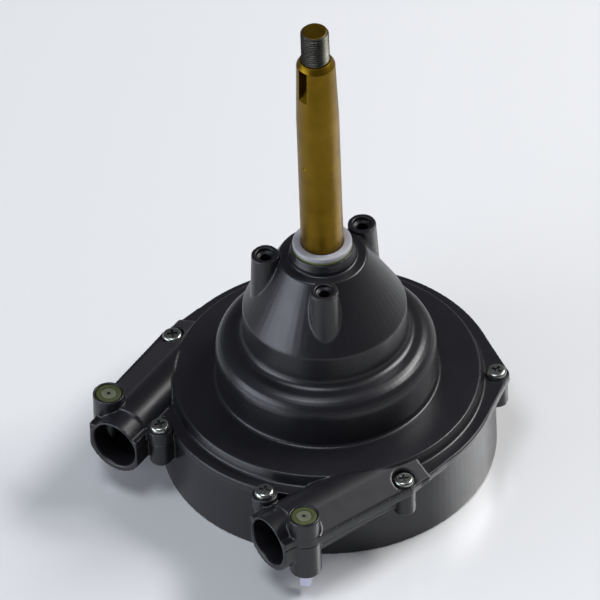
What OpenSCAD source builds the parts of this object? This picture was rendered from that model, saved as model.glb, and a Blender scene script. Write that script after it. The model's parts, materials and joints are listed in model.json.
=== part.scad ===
// Rotary steering helm for a small boat: a planetary gear and a cable drum in a cast box.
// The origin is the centre of the back face. Z runs up the steering shaft, and the cable ports point to -Y.

/* [Rear housing] */
// Height of the parting plane over the back face
parting_z = 32; // [31:0.25:34]
// Wall of the can
can_wall = 3; // [2.5:0.1:3.3]
// Thickness of the back wall
floor_t = 3.5; // [3:0.25:4.5]
// Height of the centre boss over the back wall
centre_boss_h = 23.5; // [22:0.25:24]
// Radius of the centre boss that carries the drum
centre_boss_r = 12; // [11:0.25:12.5]

/* [Front cover] */
// How far the flange stands out past the can
flange_over = 1; // [0.6:0.1:1.5]
// Thickness of the flange
flange_t = 4; // [3:0.25:5]
// Width of the flange round the raised disc
flange_w = 6.4; // [5.5:0.1:7]
// Height of the raised disc over the flange
disc_h = 5.3; // [4.8:0.1:6]
// How much the disc's wall leans in
disc_lean = 0.8; // [0.3:0.1:1.5]
// Wall of the cover
cover_wall = 3; // [2.5:0.1:3.3]
// Radius of the bell's large step
bell_r = 49.5; // [49:0.1:52]
// Height of the bell's large step up to its shoulder
bell_h = 16; // [15:0.25:18]
// Radius of the bell's round shoulder
shoulder_r = 8.5; // [7.5:0.25:9]
// Radius of the bell's small step
step_r = 36.7; // [36:0.1:38]
// Height of the small step from the shoulder to the cone
step_h = 17.2; // [16.5:0.1:19]
// Radius of the hollow between the two steps
step_fillet = 4; // [3:0.25:4]
// Height of the cone
cone_h = 29; // [27:0.5:32]
// Radius of the hub's flat top
hub_r = 20; // [19.5:0.25:21]
// Radius of the raised collar round the seal
collar_r = 15; // [14.6:0.1:15.5]
// Height of the raised collar
collar_h = 3; // [2:0.25:3.5]
// Height of the collar's tapered nose
collar_nose_h = 2.6; // [2:0.1:3]
// Radius of the collar's nose at its top
collar_nose_r = 14; // [13.7:0.05:14.4]

/* [Hub bosses] */
// Radius of a hub boss at its top
hub_boss_r = 6.35; // [5.5:0.05:6.5]
// How much a hub boss widens down to its root
hub_boss_draft = 1.4; // [0.5:0.1:2]
// Distance of the hub bosses from the shaft axis
hub_boss_place = 25.4; // [25:0.1:27]
// Height of a hub boss over the hub's flat top
hub_boss_rise = 1.6; // [0.8:0.1:2]
// Radius of the recess in a hub boss's top
hub_recess_r = 4.1; // [3.8:0.1:4.4]
// Depth of the recess in a hub boss's top
hub_recess_depth = 2; // [1.5:0.1:2.5]
// Depth of the tapped hole in a hub boss
hub_hole_depth = 12; // [10:0.5:13]
// Core radius of the tapped hole in a hub boss
hub_hole_r = 2.5; // [2.1:0.05:2.7]

/* [Cable ports] */
// Radius of the cable's path round the drum, and distance of a port's axis from the shaft
cable_path_r = 61; // [60.5:0.1:61.2]
// Angle by which each port leans in
toe = 9.4; // [7:0.2:11]
// How far a port's mouth lies past the can's radius, along the port
port_over = 5; // [3:0.5:8]
// Depth of the parting plane over a port's axis
port_below = 3.5; // [3:0.1:4]
// Radius of the bore for the cable's end fitting
port_bore_r = 11; // [10.5:0.1:11.1]
// Length of the bore for the cable's end fitting
port_bore_l = 26; // [22:0.5:26]
// Radius of the passage from the bore to the drum
passage_r = 6.5; // [5.5:0.1:7]
// Outer radius of a port's lower half
port_r = 14; // [13.5:0.1:14.2]
// Distance of a port's flat inner side from its axis
port_flat = 12.25; // [12:0.05:12.6]
// Distance of a port's flat outer side from its axis
port_out_flat = 13.2; // [12.8:0.05:13.4]
// Outer radius of a port's upper half behind the collar
port_top_r = 13.4; // [13.2:0.05:13.6]
// Outer radius of the collar at a port's mouth
port_collar_r = 12.4; // [12.2:0.05:12.8]
// Length of the collar at a port's mouth
port_collar_l = 10.5; // [9:0.25:11.5]

/* [Lock bolts] */
// Radius of a lock boss at its top
lock_boss_r = 7.2; // [7:0.05:7.5]
// Height of a lock boss over the flange
lock_boss_h = 9.5; // [9:0.25:11]
// Distance of a lock boss from the mouth, along the port
lock_back = 12.8; // [12.6:0.1:14]
// Distance of a lock bolt from a port's axis
lock_side = 10.9; // [10.5:0.1:11.2]
// Radius of the lock bolt's thread
lock_bolt_r = 3; // [2.5:0.1:3.2]
// Radius of the lock bolt's round head
lock_head_r = 5.75; // [5.4:0.05:6]
// Radius of the lock nut's barrel
lock_barrel_r = 4.5; // [4.2:0.05:4.8]
// Length of the lock nut's barrel
lock_barrel_l = 4.5; // [4:0.25:5]
// Width of the lock nut's square end
lock_square_w = 4.8; // [4.5:0.1:5.5]
// Length of the lock nut's square end
lock_square_l = 9; // [8:0.25:10]

/* [Cover screws] */
// Radius of a cover screw's head
screw_head_r = 4.5; // [4:0.1:4.8]
// Height of a cover screw's head
screw_head_h = 2.6; // [2:0.1:3]
// Radius of a cover screw's thread
screw_r = 2; // [1.5:0.1:2.2]
// Length of a cover screw under its head
screw_l = 14; // [12:0.5:14.5]
// Radius of the lugs round the cover screws
lug_r = 5.8; // [5.4:0.1:6.2]
// Radius of the screw bosses on the housing
screw_boss_r = 5; // [4.5:0.1:5.2]
// Height of the screw bosses under the flange
screw_boss_h = 12; // [11:0.25:13]
// How far the plain cover screws stand out past the can's radius
screw_over = 0.6; // [0:0.1:1]

/* [Steering shaft] */
// Diameter of the straight shaft
shaft_d = 19.05; // [18.5:0.05:19.2]
// Length of the straight shaft over the hub's top
shaft_reach = 84; // [78:0.5:90]
// Length of the taper
taper_l = 30; // [26:0.5:34]
// Diameter at the taper's small end
taper_d = 17.3; // [16.8:0.05:17.6]
// Length of the chamfer between taper and thread
nose_l = 2.7; // [2:0.1:3]
// Diameter of the threaded end
thread_d = 12.7; // [12:0.05:13]
// Length of the threaded end
thread_l = 16.3; // [14:0.1:20]
// Width of the key slot
key_w = 4.76; // [4:0.02:5]
// Radius of the cutter that leaves the round-bottomed key slot
key_cutter_r = 9.5; // [9:0.25:11]
// Depth of the key slot in the taper
key_depth = 5.4; // [4.5:0.1:5.6]
// Radius of the shaft's thin lower end
spigot_r = 4; // [3.75:0.05:4.2]
// Radius of the shaft's shoulder under the friction disc
shaft_shoulder_r = 12.5; // [11.5:0.25:13]

/* [Seal and bush] */
// Height of the seal's lip over the collar's nose
seal_h = 0.9; // [0.6:0.1:1.2]
// Radius of the seal in its pocket
seal_r = 12.9; // [12.7:0.05:13]
// Radius of the seal's lip
seal_lip_r = 13.4; // [13.3:0.05:13.6]
// Radius of the pale bush
bush_r = 13.25; // [13:0.05:13.4]
// Height of the pale bush
bush_h = 2.3; // [2:0.1:2.6]

/* [Gears] */
// Module of the gears
gear_module = 1.25; // [1.2:0.01:1.26]
// Teeth of the sun gear
sun_teeth = 12; // [12]
// Teeth of each planet gear
planet_teeth = 24; // [24]
// Pressure angle of the gears
pressure_angle = 25; // [24:0.5:26]
// Play between meshing teeth
backlash = 0.16; // [0.12:0.01:0.24]
// Width of the gears
gear_w = 12; // [11:0.25:12.5]
// Radius of a planet pin
pin_r = 4; // [3.5:0.1:4.5]
// Number of planet gears
planets = 3; // [3]

/* [Friction device] */
// Thickness of the friction disc
lining_t = 3; // [2.5:0.1:3.2]
// Radius of the friction disc
lining_r = 29; // [27:0.25:30]
// Thickness of the pressure plate
plate_t = 3; // [2.5:0.1:3.2]
// Height of the disc spring
spring_h = 3.4; // [3:0.1:3.6]
// Thickness of the disc spring
spring_t = 1.2; // [0.9:0.1:1.4]

/* [Upper bearing] */
// Width of the upper bearing
bearing_w = 10; // [9:0.25:10.5]
// Outer radius of the upper bearing
bearing_r = 18; // [17.5:0.1:18.2]
// Radius of a bearing ball
ball_r = 2.4; // [2.2:0.05:2.5]
// Number of bearing balls
balls = 10; // [9:1:11]
// Thickness of the retaining rings
circlip_t = 1.2; // [1:0.05:1.3]

/* [Cable drum] */
// Radius of the steering cable that the drum takes
cable_r = 4.5; // [4:0.1:4.6]
// Teeth of the drum's groove
drum_teeth = 72; // [60:1:76]
// Height of the drum's rim flanges
rim_flange_t = 2.4; // [2:0.1:2.6]
// How far the rim flanges reach past the cable's path
rim_reach = 3; // [2:0.1:3.4]
// Thickness of the drum's bush
drum_bush_t = 2; // [1.5:0.1:2.2]
// Thickness of the thrust washer under the drum
thrust_t = 2; // [1.5:0.1:2.3]
// Thickness of the carrier plate over the planets
carrier_t = 3; // [2.5:0.1:3.2]
// Thickness of the guide between the cable and the can
guide_t = 5.7; // [5:0.1:6.5]

/* [Fits] */
// Running clearance of a shaft or pin in its bore
running = 0.05; // [0.02:0.01:0.08]
// Gap between parts that pass each other
gap = 0.3; // [0.2:0.05:0.4]
// Gap between the wound cable and its guide
cable_play = 0.7; // [0.5:0.05:1]
// Clearance of the cable guide in the can
guide_play = 0.1; // [0.05:0.01:0.2]
// Clearance round a bolt or screw in its hole
bolt_play = 0.25; // [0.15:0.05:0.4]

/* [Hidden] */
$fn = 96;

// Overrun of a cut past the face that it opens
cut = 1;
full_turn = 360;
mirrored = [-1, 1];

// Heights of the cover, from the flange up
flange_top_z = parting_z + flange_t;
disc_top_z = flange_top_z + disc_h;
bell_top_z = disc_top_z + bell_h;
shoulder_top_z = bell_top_z + shoulder_r;
cone_z = shoulder_top_z + step_h;
hub_top_z = cone_z + cone_h;
hub_boss_top_z = hub_top_z + hub_boss_rise;
hub_recess_z = hub_boss_top_z - hub_recess_depth;
collar_top_z = hub_top_z + collar_h;
collar_nose_z = collar_top_z + collar_nose_h;
seal_top_z = collar_nose_z + seal_h;
bush_top_z = seal_top_z + bush_h;

// Small rounds of the castings
edge_round = 0.8;
cone_round = 0.8;
foot_fillet = 1.2;
bell_fillet = 1.5;
arc_steps = 6;

// Radii of the can, the cover and the shaft
shaft_r = shaft_d / 2;
guide_r = cable_path_r + cable_r + cable_play;
can_bore_r = guide_r + guide_t + guide_play;
can_r = can_bore_r + can_wall;
flange_r = can_r + flange_over;
disc_foot_r = flange_r - flange_w;
disc_top_r = disc_foot_r - disc_lean;
cone_lean = atan2(step_r - hub_r, cone_h);
bell_bore_r = bell_r - cover_wall;
step_bore_r = step_r - cover_wall;
disc_bore_r = disc_foot_r - cover_wall;

// Cover screws: two raised ones at the ports, four plain ones on the flange
port_reach = can_r + port_over;
screw_place = can_r + screw_over;
port_screw_back = 11.9;
port_screw_in = 17.1;
port_screw_x = port_reach - port_screw_back;
port_screw_y = cable_path_r - port_screw_in;
port_lug_h = 2.7;
spot_play = 0.8;
side_screw_angle = -19.8;
rear_screw_angle = 45;

// Ports, seen in a frame whose x runs out along the port and whose y points away from the shaft
port_z = parting_z - port_below;
port_in_y = cable_path_r - port_flat;
port_out_y = cable_path_r + port_out_flat;
port_step_x = port_reach - port_collar_l;
bore_end_x = port_reach - port_bore_l;
passage_end_x = cable_path_r / 2;
bore_chamfer = 0.6;
lock_x = port_reach - lock_back;
// Groove in the bore where the lock bolt crosses it
lock_groove = 0.4;
lock_groove_w = 2 * lock_bolt_r + 4 * bolt_play;
lock_y = cable_path_r + lock_side;
lock_boss_top_z = flange_top_z + lock_boss_h;
lock_boss_under = 1;
lock_boss_foot_z = port_z - port_r - lock_boss_under;
lock_head_t = 2.2;
lock_head_sink = 0.3;
lock_head_z = lock_boss_top_z - lock_head_sink;
lock_nut_floor = 1.5;
lock_bolt_z = lock_boss_foot_z + lock_nut_floor;
// Turn of the lock nuts' square ends against the ports
lock_square_turn = 43;
lock_socket_share = 0.6;
lock_socket_r = lock_head_r * lock_socket_share;
lock_socket_t = 0.4;
side_lug = polar(screw_place, 90 + toe + side_screw_angle);
slope_inset = 0.2;
slope_corner = [lock_y + lock_boss_r - slope_inset, flange_top_z - slope_inset];
slope_from_x = 2;
// How far a flank is drawn in, so that it cuts into the round that it joins
blend = 0.1;

// Pan heads: shares of the head's radius and height
recess_w_share = 0.28;
recess_l_share = 1.1;
recess_t_share = 0.45;
rim_share = 0.55;
crown_share = 0.72;

// Gear train
ring_teeth = sun_teeth + 2 * planet_teeth;
sun_pitch_r = gear_module * sun_teeth / 2;
planet_pitch_r = gear_module * planet_teeth / 2;
ring_pitch_r = gear_module * ring_teeth / 2;
planet_place = sun_pitch_r + planet_pitch_r;
first_planet_angle = 90;
dedendum_share = 1.25;
sun_tip_r = sun_pitch_r + gear_module;
planet_tip_r = planet_pitch_r + gear_module;

// Heights of the gear stage, from the drum's deck up
deck_drop = 1.3;
deck_top_z = disc_top_z - deck_drop;
washer_t = 1;
planet_z = deck_top_z + washer_t + gap;
planet_top_z = planet_z + gear_w;
carrier_z = planet_top_z + gap;
carrier_top_z = carrier_z + carrier_t;
carrier_rim = 6.5;
carrier_r = planet_place + pin_r + carrier_rim;
carrier_play = 1.2;
washer_w = 3;
ring_z = planet_z;
ring_seat_z = planet_top_z + gap;
ring_seat_w = 2.5;
ring_seat_r = bell_bore_r - ring_seat_w;
shaft_foot_gap = 1.4;
shaft_foot_z = carrier_top_z + shaft_foot_gap;
sun_z = planet_z - gap;

// Friction device, bearing and seal
friction_gap = 0.2;
friction_z = shoulder_top_z + step_fillet + friction_gap;
lining_top_z = friction_z + lining_t;
plate_z = lining_top_z + running;
plate_top_z = plate_z + plate_t;
ledge_z = plate_top_z + spring_h;
plate_r = step_bore_r - gap;
plate_play = 1;
plate_bore_r = shaft_shoulder_r + plate_play;
ledge_w = 4.7;
ledge_r = step_bore_r - ledge_w;
spring_inset = 2.2;
spring_r = step_bore_r - spring_inset;
spring_bore_r = 20;
rib_r = 2;
ribs = 3;
shoulder_t = 4;
bearing_depth = 5;
bearing_top_z = hub_top_z - bearing_depth;
bearing_z = bearing_top_z - bearing_w;
bearing_seat_w = 3;
cone_bore_r = bearing_r + bearing_seat_w;
hub_boss_angles = [90, 225, 315];
seal_depth = 3;
seal_pocket_z = hub_top_z - seal_depth;
inner_race_share = 0.32;
outer_race_share = 0.72;
race_gap = bearing_r - shaft_r;
inner_race_r = shaft_r + race_gap * inner_race_share;
outer_race_r = shaft_r + race_gap * outer_race_share;
ball_place = (inner_race_r + outer_race_r) / 2;
ball_play = 0.12;
cage_t = 1.2;
cage_h_share = 2.5;
cage_h = ball_r * cage_h_share;
circlip_groove = 0.5;
circlip_w = 1.7;
circlip_r = shaft_r + circlip_w;
circlip_opening = 40;
circlip_play = 1.2;
circlip_hole_r = circlip_r + circlip_play;

// Shaft
straight_top_z = hub_top_z + shaft_reach;
taper_top_z = straight_top_z + taper_l;
nose_top_z = taper_top_z + nose_l;
shaft_top_z = nose_top_z + thread_l;
thread_r = thread_d / 2;
thread_shoulder = 0.55;
thread_neck_r = thread_r + thread_shoulder;
thread_chamfer = 1;
bush_relief = 0.4;
bush_relief_h = 1.2;
key_share = 0.72;
key_z = straight_top_z + taper_l * key_share;
key_from_axis = taper_d / 2 + key_cutter_r - key_depth;
dimple_r = 1.25;
dimple_share = 0.685;
dimple_z = hub_top_z + shaft_reach * dimple_share;
dimple_depth = 1;

// Centre boss, drum and lower bearing
boss_top_z = floor_t + centre_boss_h;
lower_bearing_wall = 3;
lower_bearing_r = spigot_r + lower_bearing_wall;
lower_bearing_l = 12;
lower_bearing_z = boss_top_z - lower_bearing_l;
spigot_over = 1;
spigot_foot_z = lower_bearing_z - spigot_over;
spigot_well = 2;
spigot_well_z = spigot_foot_z - spigot_well;
spigot_play = 0.6;
spigot_well_r = spigot_r + spigot_play;
hub_wall_t = 5;
drum_bush_r = centre_boss_r + running + drum_bush_t;
drum_hub_r = drum_bush_r + hub_wall_t;
thrust_top_z = floor_t + thrust_t;
drum_foot_z = thrust_top_z + gap;
drum_roof_gap = 0.8;
drum_hub_roof_z = boss_top_z + drum_roof_gap;
drum_hole_play = 1.2;
drum_shaft_hole_r = spigot_r + drum_hole_play;
deck_t = 5.5;
deck_inset = 3.5;
deck_r = bell_bore_r - deck_inset;
deck_wall = 5;
deck_foot_z = deck_top_z - deck_t;
web_t = 4;
groove_r = cable_path_r - cable_r;
groove_wall = 5;
groove_depth = 1.1;
groove_play = 0.1;
groove_z = port_z - cable_r - groove_play;
groove_top_z = port_z + cable_r + groove_play;
web_z = port_z - web_t / 2;
rim_r = cable_path_r + rim_reach;
rim_bore_r = groove_r - groove_wall;

// Cable guide
guide_top_z = parting_z - gap;
guide_angle = full_turn / 2 + 2 * toe;

// Points of an arc round (cx, cy), from one angle to another
function arc(cx, cy, r, from, to) =
    [for (i = [0 : arc_steps]) let (a = from + (to - from) * i / arc_steps) [cx + r * cos(a), cy + r * sin(a)]];

// The four corners that join two circles along their outer tangents, the first circle being the larger
function tangent_band(c1, r1, c2, r2) =
    let (d = c2 - c1)
    let (along = atan2(d[1], d[0]))
    let (lean = acos((r1 - r2) / norm(d)))
    [
        c1 + r1 * [cos(along - lean), sin(along - lean)],
        c2 + r2 * [cos(along - lean), sin(along - lean)],
        c2 + r2 * [cos(along + lean), sin(along + lean)],
        c1 + r1 * [cos(along + lean), sin(along + lean)],
    ];

function polar(r, angle) = [r * cos(angle), r * sin(angle)];

// Angle of the involute at radius r over its base circle
function involute_angle(base_r, r) =
    let (turn = acos(base_r / r)) tan(turn) * 180 / PI - turn;

// Half the angle that a tooth covers at radius r, thinned by half the play
function tooth_half(teeth, pitch_r, base_r, play, r) =
    90 / teeth - play / pitch_r * 45 / PI
    + involute_angle(base_r, pitch_r) - involute_angle(base_r, max(r, base_r));

// Outline of one flank, from the root to the tip
flank_steps = 5;
function flank(teeth, pitch_r, base_r, play, root_r, tip_r, side, middle) =
    [for (i = [0 : flank_steps])
        let (low_r = max(root_r, base_r))
        let (r = i == 0 ? root_r : low_r + (tip_r - low_r) * (i - 1) / (flank_steps - 1))
        polar(r, middle + side * tooth_half(teeth, pitch_r, base_r, play, r))];

function turned_round(points) = [for (i = [len(points) - 1 : -1 : 0]) points[i]];

// Outline of a whole gear with a tooth on the angle "phase"
function gear_outline(teeth, play, root_r, tip_r, phase) =
    let (pitch_r = gear_module * teeth / 2)
    let (base_r = pitch_r * cos(pressure_angle))
    [for (i = [0 : teeth - 1])
        let (middle = phase + full_turn * i / teeth)
        each concat(
            flank(teeth, pitch_r, base_r, play, root_r, tip_r, -1, middle),
            turned_round(flank(teeth, pitch_r, base_r, play, root_r, tip_r, 1, middle))
        )];

function planet_angle(i) = first_planet_angle + full_turn * i / planets;

// Puts children on the +X side or, mirrored, on the -X side
module on_side(side) {
    if (side > 0) {
        children();
    } else {
        mirror([1, 0, 0])
            children();
    }
}

// Puts children in the frame of the port on the given side
module at_port(side) {
    on_side(side)
        rotate(-90 - toe)
            children();
}

// Puts children at each of the six cover screws; $lift is the height of the lug there
module at_screws() {
    for (side = mirrored) {
        $lift = port_lug_h;
        at_port(side)
            translate([port_screw_x, port_screw_y, 0])
                children();
    }
    for (side = mirrored) {
        for (angle = [side_screw_angle, rear_screw_angle]) {
            $lift = 0;
            on_side(side)
                rotate(angle)
                    translate([screw_place, 0, 0])
                        children();
        }
    }
}

// Puts children at both lock bolts
module at_locks() {
    for (side = mirrored) {
        at_port(side)
            translate([lock_x, lock_y, 0])
                children();
    }
}

// Puts children at the three hub bosses
module at_hub_bosses() {
    for (angle = hub_boss_angles) {
        rotate(angle)
            translate([hub_boss_place, 0, 0])
                children();
    }
}

// The hole of each port: a chamfered bore for the cable's fitting, then the passage to the drum
module port_holes() {
    for (side = mirrored) {
        at_port(side)
            translate([passage_end_x, cable_path_r, port_z])
                rotate([0, 90, 0])
                    rotate_extrude()
                        polygon([
                            [0, 0],
                            [passage_r, 0],
                            [passage_r, bore_end_x - passage_end_x],
                            [port_bore_r, bore_end_x - passage_end_x],
                            [port_bore_r, lock_x - lock_groove_w / 2 - passage_end_x],
                            [port_bore_r + lock_groove, lock_x - lock_groove_w / 2 - passage_end_x],
                            [port_bore_r + lock_groove, lock_x + lock_groove_w / 2 - passage_end_x],
                            [port_bore_r, lock_x + lock_groove_w / 2 - passage_end_x],
                            [port_bore_r, port_reach - passage_end_x - bore_chamfer],
                            [port_bore_r + bore_chamfer + cut, port_reach - passage_end_x + cut],
                            [0, port_reach - passage_end_x + cut],
                        ]);
    }
}

// A section drawn across a port, as distance from the shaft and height, carried along the port
module along_port(from, to) {
    translate([from, 0, 0])
        rotate([90, 0, 90])
            linear_extrude(to - from)
                children();
}

// Plan of one side's plate between its port, its lock boss and its side lug
module port_plan() {
    translate([port_screw_x, port_screw_y])
        circle(r = lug_r);
    translate([lock_x, lock_y])
        circle(r = lock_boss_r + blend);
    polygon(tangent_band([lock_x, lock_y], lock_boss_r, side_lug, lug_r - blend));
    polygon([[0, port_in_y], [port_reach, port_in_y], [port_reach, port_out_y], [0, port_out_y]]);
    polygon([[0, cable_path_r], [lock_x, cable_path_r], [lock_x, lock_y], side_lug]);
}

// Plan of one lug with its tangents to the round flange
module lug_plan(place) {
    translate(place)
        circle(r = lug_r);
    polygon(tangent_band([0, 0], flange_r - blend * 2, place, lug_r - blend));
}

// Plan of the lugs and port plates round the flange
module flange_plan() {
    for (side = mirrored) {
        at_port(side)
            port_plan();
        on_side(side) {
            for (angle = [side_screw_angle, rear_screw_angle]) {
                lug_plan(polar(screw_place, angle));
            }
        }
    }
}

// Outline of the cover's outside, half of it, as radius and height
function cover_outside() = concat(
    [[0, parting_z], [flange_r, parting_z]],
    [[flange_r, flange_top_z - edge_round / 2], [flange_r - edge_round / 2, flange_top_z]],
    turned_round(arc(disc_foot_r + foot_fillet, flange_top_z + foot_fillet, foot_fillet, 180, 270)),
    arc(disc_top_r - edge_round, disc_top_z - edge_round, edge_round, 0, 90),
    turned_round(arc(bell_r + bell_fillet, disc_top_z + bell_fillet, bell_fillet, 180, 270)),
    arc(bell_r - shoulder_r, bell_top_z, shoulder_r, 0, 90),
    turned_round(arc(step_r + step_fillet, shoulder_top_z + step_fillet, step_fillet, 180, 270)),
    arc(step_r - cone_round, cone_z - cone_round, cone_round, 0, cone_lean),
    arc(hub_r - edge_round, hub_top_z - edge_round, edge_round, cone_lean, 90),
    [[collar_r, hub_top_z], [collar_r, collar_top_z - edge_round / 2]],
    [[collar_r - edge_round / 2, collar_top_z], [collar_nose_r, collar_nose_z], [0, collar_nose_z]]
);

// Outline of the cover's hollow, as radius and height
function cover_inside() = [
    [0, parting_z - cut],
    [disc_bore_r, parting_z - cut],
    [disc_bore_r, disc_top_z - cover_wall],
    [bell_bore_r, disc_top_z - cover_wall],
    [bell_bore_r, ring_seat_z],
    [ring_seat_r, ring_seat_z],
    [ring_seat_r, bell_top_z],
    [step_bore_r + step_fillet + cover_wall, shoulder_top_z - cover_wall],
    [step_bore_r, shoulder_top_z + step_fillet - cover_wall],
    [step_bore_r, ledge_z],
    [ledge_r, ledge_z],
    [cone_bore_r, bearing_z],
    [bearing_r, bearing_z],
    [bearing_r, bearing_top_z],
    [circlip_hole_r, bearing_top_z],
    [circlip_hole_r, seal_pocket_z],
    [seal_r, seal_pocket_z],
    [seal_r, collar_nose_z + cut],
    [0, collar_nose_z + cut],
];

// Section of the slope from a port's round top down to the flange's edge
function slope_section() =
    let (centre = [cable_path_r, port_z])
    let (d = slope_corner - centre)
    let (lean = atan2(d[1], d[0]) + acos((port_top_r - blend) / norm(d)))
    [
        [cable_path_r, parting_z + cut],
        [slope_corner[0], parting_z + cut],
        slope_corner,
        centre + polar(port_top_r - blend, lean),
    ];

// The round top of a port, over the parting plane
module port_top(r) {
    difference() {
        translate([cable_path_r, port_z])
            circle(r = r);
        translate([cable_path_r - 2 * r, parting_z + cut - 2 * r])
            square([4 * r, 2 * r]);
    }
}

// The part of a port that belongs to the cover, over its plate
module port_roof() {
    along_port(slope_from_x, port_step_x)
        port_top(port_top_r);
    along_port(port_step_x - cut, port_reach)
        port_top(port_collar_r);
    along_port(slope_from_x, lock_x)
        polygon(slope_section());
}

module front_cover() {
    color("#2b2b2e")
    difference() {
        union() {
            rotate_extrude()
                polygon(cover_outside());
            translate([0, 0, parting_z])
                linear_extrude(flange_t)
                    flange_plan();
            difference() {
                for (side = mirrored) {
                    at_port(side)
                        port_roof();
                }
                translate([0, 0, disc_top_z])
                    cylinder(h = disc_h, r = disc_top_r - edge_round);
            }
            for (side = mirrored) {
                at_port(side)
                    translate([port_screw_x, port_screw_y, parting_z + cut])
                        cylinder(h = flange_t + port_lug_h - cut, r = lug_r - blend);
            }
            at_locks()
                translate([0, 0, parting_z + cut])
                    cylinder(h = lock_boss_top_z - parting_z - cut, r = lock_boss_r);
            at_hub_bosses()
                translate([0, 0, cone_z])
                    cylinder(h = hub_boss_top_z - cone_z, r1 = hub_boss_r + hub_boss_draft, r2 = hub_boss_r);
        }
        rotate_extrude()
            polygon(cover_inside());
        port_holes();
        at_screws()
            translate([0, 0, parting_z - cut])
                cylinder(h = flange_t + $lift + 2 * cut, r = screw_r + bolt_play);
        at_screws()
            translate([0, 0, flange_top_z + $lift])
                cylinder(h = disc_h, r = screw_head_r + spot_play);
        at_locks() {
            translate([0, 0, parting_z - cut])
                cylinder(h = lock_boss_top_z - parting_z + 2 * cut, r = lock_bolt_r + bolt_play);
            translate([0, 0, lock_head_z - lock_head_t])
                cylinder(h = lock_head_t + cut, r = lock_head_r + bolt_play);
        }
        at_hub_bosses() {
            translate([0, 0, hub_recess_z])
                cylinder(h = hub_recess_depth + cut, r = hub_recess_r);
            translate([0, 0, hub_recess_z - hub_hole_depth])
                cylinder(h = hub_hole_depth + cut, r = hub_hole_r);
        }
    }
    color("#2b2b2e")
    for (i = [0 : ribs - 1]) {
        rotate(full_turn * i / ribs)
            translate([step_bore_r, 0, friction_z])
                cylinder(h = ledge_z - friction_z, r = rib_r, $fn = 32);
    }
}

// Section of a port's lower half: round below, with flat sides up to the parting plane
module trough_section() {
    intersection() {
        translate([cable_path_r, port_z])
            circle(r = port_r);
        translate([port_in_y, port_z - port_r * 2])
            square([port_out_y - port_in_y, port_r * 2]);
    }
    translate([port_in_y, port_z - cut])
        square([port_out_y - port_in_y, port_below + 2 * cut]);
}

module rear_housing() {
    web_l = screw_boss_r * 2;
    color("#2b2b2e")
    difference() {
        union() {
            cylinder(h = parting_z + cut, r = can_r);
            for (side = mirrored) {
                at_port(side) {
                    along_port(0, port_reach)
                        trough_section();
                    translate([port_screw_x - web_l, port_screw_y - screw_boss_r + blend, parting_z - screw_boss_h])
                        cube([web_l, screw_boss_r, screw_boss_h + cut]);
                }
            }
            at_screws()
                translate([0, 0, parting_z - screw_boss_h])
                    cylinder(h = screw_boss_h + cut, r = screw_boss_r);
            at_locks()
                translate([0, 0, lock_boss_foot_z])
                    cylinder(h = parting_z + cut - lock_boss_foot_z, r = lock_boss_r);
        }
        translate([0, 0, parting_z])
            cylinder(h = flange_t, r = port_reach * 2);
        difference() {
            translate([0, 0, floor_t])
                cylinder(h = parting_z, r = can_bore_r);
            translate([0, 0, floor_t - cut])
                cylinder(h = centre_boss_h + cut, r = centre_boss_r);
        }
        translate([0, 0, lower_bearing_z])
            cylinder(h = lower_bearing_l + cut, r = lower_bearing_r);
        translate([0, 0, spigot_well_z])
            cylinder(h = lower_bearing_z - spigot_well_z + cut, r = spigot_well_r);
        port_holes();
        at_screws()
            translate([0, 0, flange_top_z + $lift - screw_l])
                cylinder(h = screw_l, r = screw_r);
        at_locks() {
            translate([0, 0, lock_boss_foot_z - cut])
                cylinder(h = parting_z, r = lock_bolt_r + bolt_play);
            translate([0, 0, lock_boss_foot_z - cut])
                cylinder(h = lock_barrel_l + cut, r = lock_barrel_r + running);
        }
    }
}

// Outline of the shaft, as radius and height
function shaft_outline() = [
    [0, spigot_foot_z],
    [spigot_r - thread_chamfer / 2, spigot_foot_z],
    [spigot_r, spigot_foot_z + thread_chamfer / 2],
    [spigot_r, shaft_foot_z],
    [shaft_r, shaft_foot_z],
    [shaft_r, friction_z - shoulder_t],
    [shaft_shoulder_r, friction_z - shoulder_t],
    [shaft_shoulder_r, friction_z],
    [shaft_r, friction_z],
    [shaft_r, bearing_z - circlip_t],
    [shaft_r - circlip_groove, bearing_z - circlip_t],
    [shaft_r - circlip_groove, bearing_z],
    [shaft_r, bearing_z],
    [shaft_r, bearing_top_z],
    [shaft_r - circlip_groove, bearing_top_z],
    [shaft_r - circlip_groove, bearing_top_z + circlip_t],
    [shaft_r, bearing_top_z + circlip_t],
    [shaft_r, bush_top_z - bush_relief_h],
    [shaft_r - bush_relief, bush_top_z - bush_relief_h],
    [shaft_r - bush_relief, bush_top_z],
    [shaft_r, bush_top_z],
    [shaft_r, straight_top_z],
    [taper_d / 2, taper_top_z],
    [thread_neck_r, nose_top_z],
    [thread_r, nose_top_z],
    [thread_r, shaft_top_z - thread_chamfer],
    [thread_r - thread_chamfer, shaft_top_z],
    [0, shaft_top_z],
];

module steering_shaft() {
    color("#6b5a20")
    difference() {
        rotate_extrude()
            polygon(shaft_outline());
        translate([-key_w / 2, -key_from_axis, key_z])
            rotate([0, 90, 0])
                cylinder(h = key_w, r = key_cutter_r);
        translate([0, dimple_depth - shaft_r, dimple_z])
            rotate([90, 0, 0])
                cylinder(h = shaft_r, r = dimple_r);
    }
}

// A plain ring
module ring(z, h, bore, outer) {
    translate([0, 0, z])
        difference() {
            cylinder(h = h, r = outer);
            translate([0, 0, -cut])
                cylinder(h = h + 2 * cut, r = bore);
        }
}

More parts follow.
